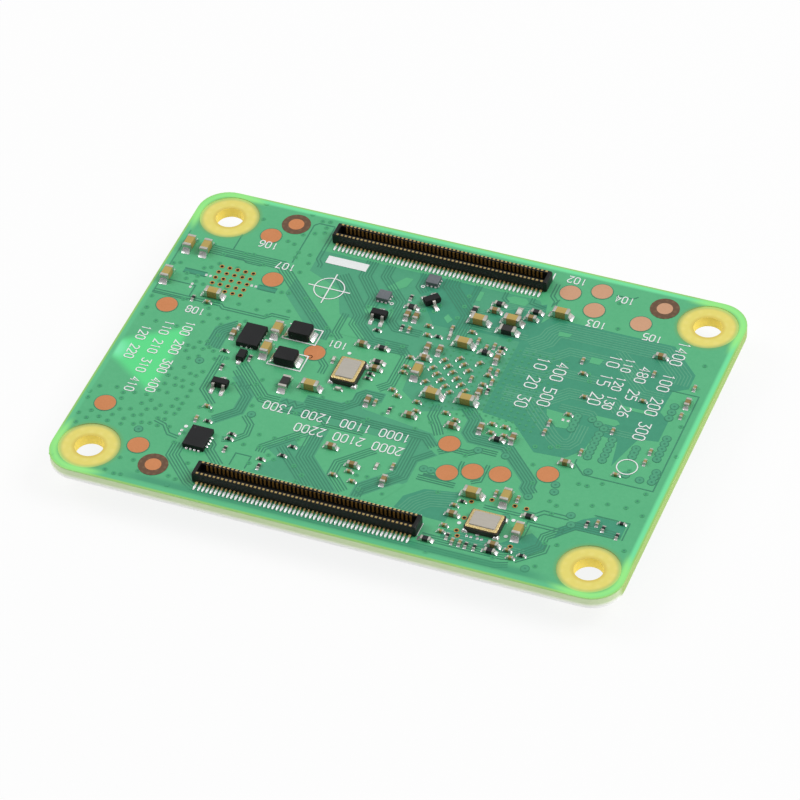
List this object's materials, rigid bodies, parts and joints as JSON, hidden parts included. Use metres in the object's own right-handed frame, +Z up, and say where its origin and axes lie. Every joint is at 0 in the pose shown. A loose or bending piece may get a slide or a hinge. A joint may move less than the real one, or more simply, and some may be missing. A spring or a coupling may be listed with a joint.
{
  "type": "system on module",
  "caption": "Thin rectangular circuit module with corner mounting holes, long board-to-board headers on one face, and a lidded processor, chips and a shield can on the other.",
  "frame": {"origin": "on the surface that the module rests on, under the middle of the board", "axes": "+X along the board's longer edge, +Y across the board towards the rear header, +Z up through the headers' mating faces"},
  "size_m": [0.055, 0.04, 0.0048],
  "materials": {
    "board": "green solder mask over glass-fibre laminate",
    "header": "black moulded polymer with gilt contacts",
    "capacitor": "tan sintered ceramic with tinned end caps",
    "ferrite": "black sintered ferrite with tinned end caps",
    "inductor": "black pressed iron powder with tinned ends",
    "crystal_base": "black fired ceramic",
    "crystal_lid": "dull nickel-plated cover",
    "chip": "black moulded epoxy",
    "substrate": "dark green package laminate",
    "lid": "nickel-plated copper, satin",
    "can": "drawn tin-plated sheet",
    "receptacle_base": "cream moulded polymer",
    "gold": "gilt turned metal"
  },
  "bodies": {
    "root": {"pcb": "board", "header_rear": "header", "header_front": "header", "capacitor_01": "capacitor", "capacitor_02": "capacitor", "capacitor_03": "capacitor", "capacitor_04": "capacitor", "capacitor_05": "capacitor", "capacitor_06": "capacitor", "capacitor_07": "capacitor", "capacitor_08": "capacitor", "capacitor_09": "capacitor", "capacitor_10": "capacitor", "capacitor_11": "capacitor", "capacitor_12": "capacitor", "capacitor_13": "capacitor", "capacitor_14": "capacitor", "capacitor_15": "capacitor", "capacitor_16": "capacitor", "capacitor_17": "capacitor", "bulk_capacitor_1": "capacitor", "bulk_capacitor_2": "capacitor", "bulk_capacitor_3": "capacitor", "bulk_capacitor_4": "capacitor", "ferrite_bead_1": "ferrite", "ferrite_bead_2": "ferrite", "buck_inductor_1": "inductor", "buck_inductor_2": "inductor", "supply_inductor_1": "inductor", "supply_inductor_2": "inductor", "supply_inductor_3": "inductor", "supply_inductor_4": "inductor", "main_crystal_base": "crystal_base", "main_crystal_lid": "crystal_lid", "network_crystal_base": "crystal_base", "network_crystal_lid": "crystal_lid", "load_switch_1": "chip", "load_switch_2": "chip", "buck_regulator": "chip", "interface_chip": "chip", "transistor_1": "chip", "transistor_2": "chip", "transistor_3": "chip", "clamp_diode": "chip", "processor_substrate": "substrate", "processor_lid": "lid", "memory_chip": "chip", "flash_chip": "chip", "network_chip": "chip", "power_controller": "chip", "wireless_can": "can", "wireless_chip": "chip", "antenna_receptacle_base": "receptacle_base", "antenna_receptacle_shell": "gold", "antenna_receptacle_pin": "gold"}
  },
  "joints": []
}
